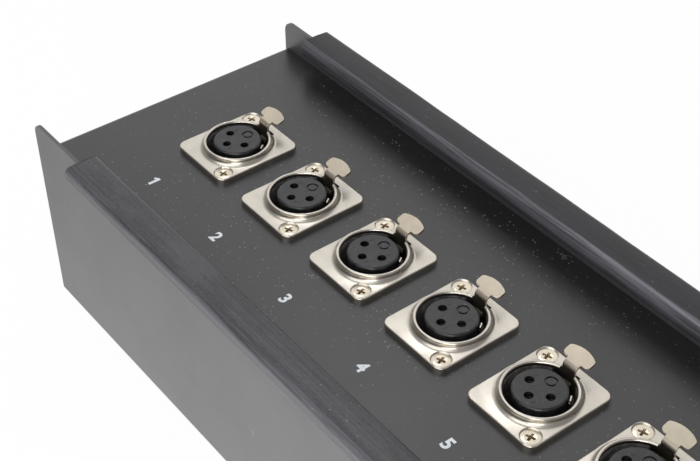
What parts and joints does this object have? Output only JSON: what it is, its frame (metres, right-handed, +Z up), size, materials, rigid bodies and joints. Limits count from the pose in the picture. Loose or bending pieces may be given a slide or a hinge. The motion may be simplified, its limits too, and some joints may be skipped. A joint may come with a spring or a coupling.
{
  "type": "stage box snake",
  "caption": "Stage box with a row of latching microphone sockets sunk between rubber-edged steel lips, on feet, with a cable gland at one end.",
  "frame": {"origin": "centre of the whole part's footprint, on the plane that the feet stand on", "axes": "+X along the row of sockets towards the cable gland, +Y towards the latches, +Z up"},
  "size_m": [0.3584, 0.1124, 0.0804],
  "materials": {
    "paint": "satin",
    "strip_rubber": "semi-gloss",
    "foot_rubber": "matte",
    "zinc": "zinc plated",
    "screw_nickel": "nickel plated",
    "pin_steel": "bright",
    "nickel": "satin nickel",
    "insert_plastic": "fine",
    "contact_brass": "gilded",
    "gland_plastic": "fine"
  },
  "bodies": {
    "box": {"tray": "paint", "chassis": "paint", "front_strip": "strip_rubber", "rear_strip": "strip_rubber", "feet": "foot_rubber", "foot_screws": "zinc", "foot_nuts": "zinc", "case_screws": "zinc", "case_nuts": "zinc", "socket_screws": "screw_nickel", "socket_nuts": "zinc", "socket_liners": "insert_plastic", "insert_bases": "insert_plastic", "latch_pins": "pin_steel", "ground_tongues": "nickel", "gland_body": "gland_plastic", "gland_washer": "foot_rubber", "gland_locknut": "gland_plastic", "gland_seal": "foot_rubber", "gland_cap": "gland_plastic", "socket_shell_1": "nickel", "socket_shell_2": "nickel", "socket_shell_3": "nickel", "socket_shell_4": "nickel", "socket_shell_5": "nickel", "socket_shell_6": "nickel", "socket_shell_7": "nickel", "socket_shell_8": "nickel", "socket_insert_1": "insert_plastic", "socket_insert_2": "insert_plastic", "socket_insert_3": "insert_plastic", "socket_insert_4": "insert_plastic", "socket_insert_5": "insert_plastic", "socket_insert_6": "insert_plastic", "socket_insert_7": "insert_plastic", "socket_insert_8": "insert_plastic", "socket_contacts_1": "contact_brass", "socket_contacts_2": "contact_brass", "socket_contacts_3": "contact_brass", "socket_contacts_4": "contact_brass", "socket_contacts_5": "contact_brass", "socket_contacts_6": "contact_brass", "socket_contacts_7": "contact_brass", "socket_contacts_8": "contact_brass"},
    "latch_body_1": {"latch_1": "nickel", "latch_spring_1": "pin_steel"},
    "latch_body_2": {"latch_2": "nickel", "latch_spring_2": "pin_steel"},
    "latch_body_3": {"latch_3": "nickel", "latch_spring_3": "pin_steel"},
    "latch_body_4": {"latch_4": "nickel", "latch_spring_4": "pin_steel"},
    "latch_body_5": {"latch_5": "nickel", "latch_spring_5": "pin_steel"},
    "latch_body_6": {"latch_6": "nickel", "latch_spring_6": "pin_steel"},
    "latch_body_7": {"latch_7": "nickel", "latch_spring_7": "pin_steel"},
    "latch_body_8": {"latch_8": "nickel", "latch_spring_8": "pin_steel"}
  },
  "joints": [
    {"name": "latch_hinge_1", "type": "hinge", "parent": "box", "child": "latch_body_1", "pos_m": [-0.13795, 0.01105, 0.0605], "axis": [-1, 0, 0], "range_deg": [0, 5], "stiffness_Nm_per_rad": 0.05, "springref_deg": -5.73},
    {"name": "latch_hinge_2", "type": "hinge", "parent": "box", "child": "latch_body_2", "pos_m": [-0.10225, 0.01105, 0.0605], "axis": [-1, 0, 0], "range_deg": [0, 5], "stiffness_Nm_per_rad": 0.05, "springref_deg": -5.73},
    {"name": "latch_hinge_3", "type": "hinge", "parent": "box", "child": "latch_body_3", "pos_m": [-0.06655, 0.01105, 0.0605], "axis": [-1, 0, 0], "range_deg": [0, 5], "stiffness_Nm_per_rad": 0.05, "springref_deg": -5.73},
    {"name": "latch_hinge_4", "type": "hinge", "parent": "box", "child": "latch_body_4", "pos_m": [-0.03085, 0.01105, 0.0605], "axis": [-1, 0, 0], "range_deg": [0, 5], "stiffness_Nm_per_rad": 0.05, "springref_deg": -5.73},
    {"name": "latch_hinge_5", "type": "hinge", "parent": "box", "child": "latch_body_5", "pos_m": [0.00485, 0.01105, 0.0605], "axis": [-1, 0, 0], "range_deg": [0, 5], "stiffness_Nm_per_rad": 0.05, "springref_deg": -5.73},
    {"name": "latch_hinge_6", "type": "hinge", "parent": "box", "child": "latch_body_6", "pos_m": [0.04055, 0.01105, 0.0605], "axis": [-1, 0, 0], "range_deg": [0, 5], "stiffness_Nm_per_rad": 0.05, "springref_deg": -5.73},
    {"name": "latch_hinge_7", "type": "hinge", "parent": "box", "child": "latch_body_7", "pos_m": [0.07625, 0.01105, 0.0605], "axis": [-1, 0, 0], "range_deg": [0, 5], "stiffness_Nm_per_rad": 0.05, "springref_deg": -5.73},
    {"name": "latch_hinge_8", "type": "hinge", "parent": "box", "child": "latch_body_8", "pos_m": [0.11195, 0.01105, 0.0605], "axis": [-1, 0, 0], "range_deg": [0, 5], "stiffness_Nm_per_rad": 0.05, "springref_deg": -5.73}
  ]
}
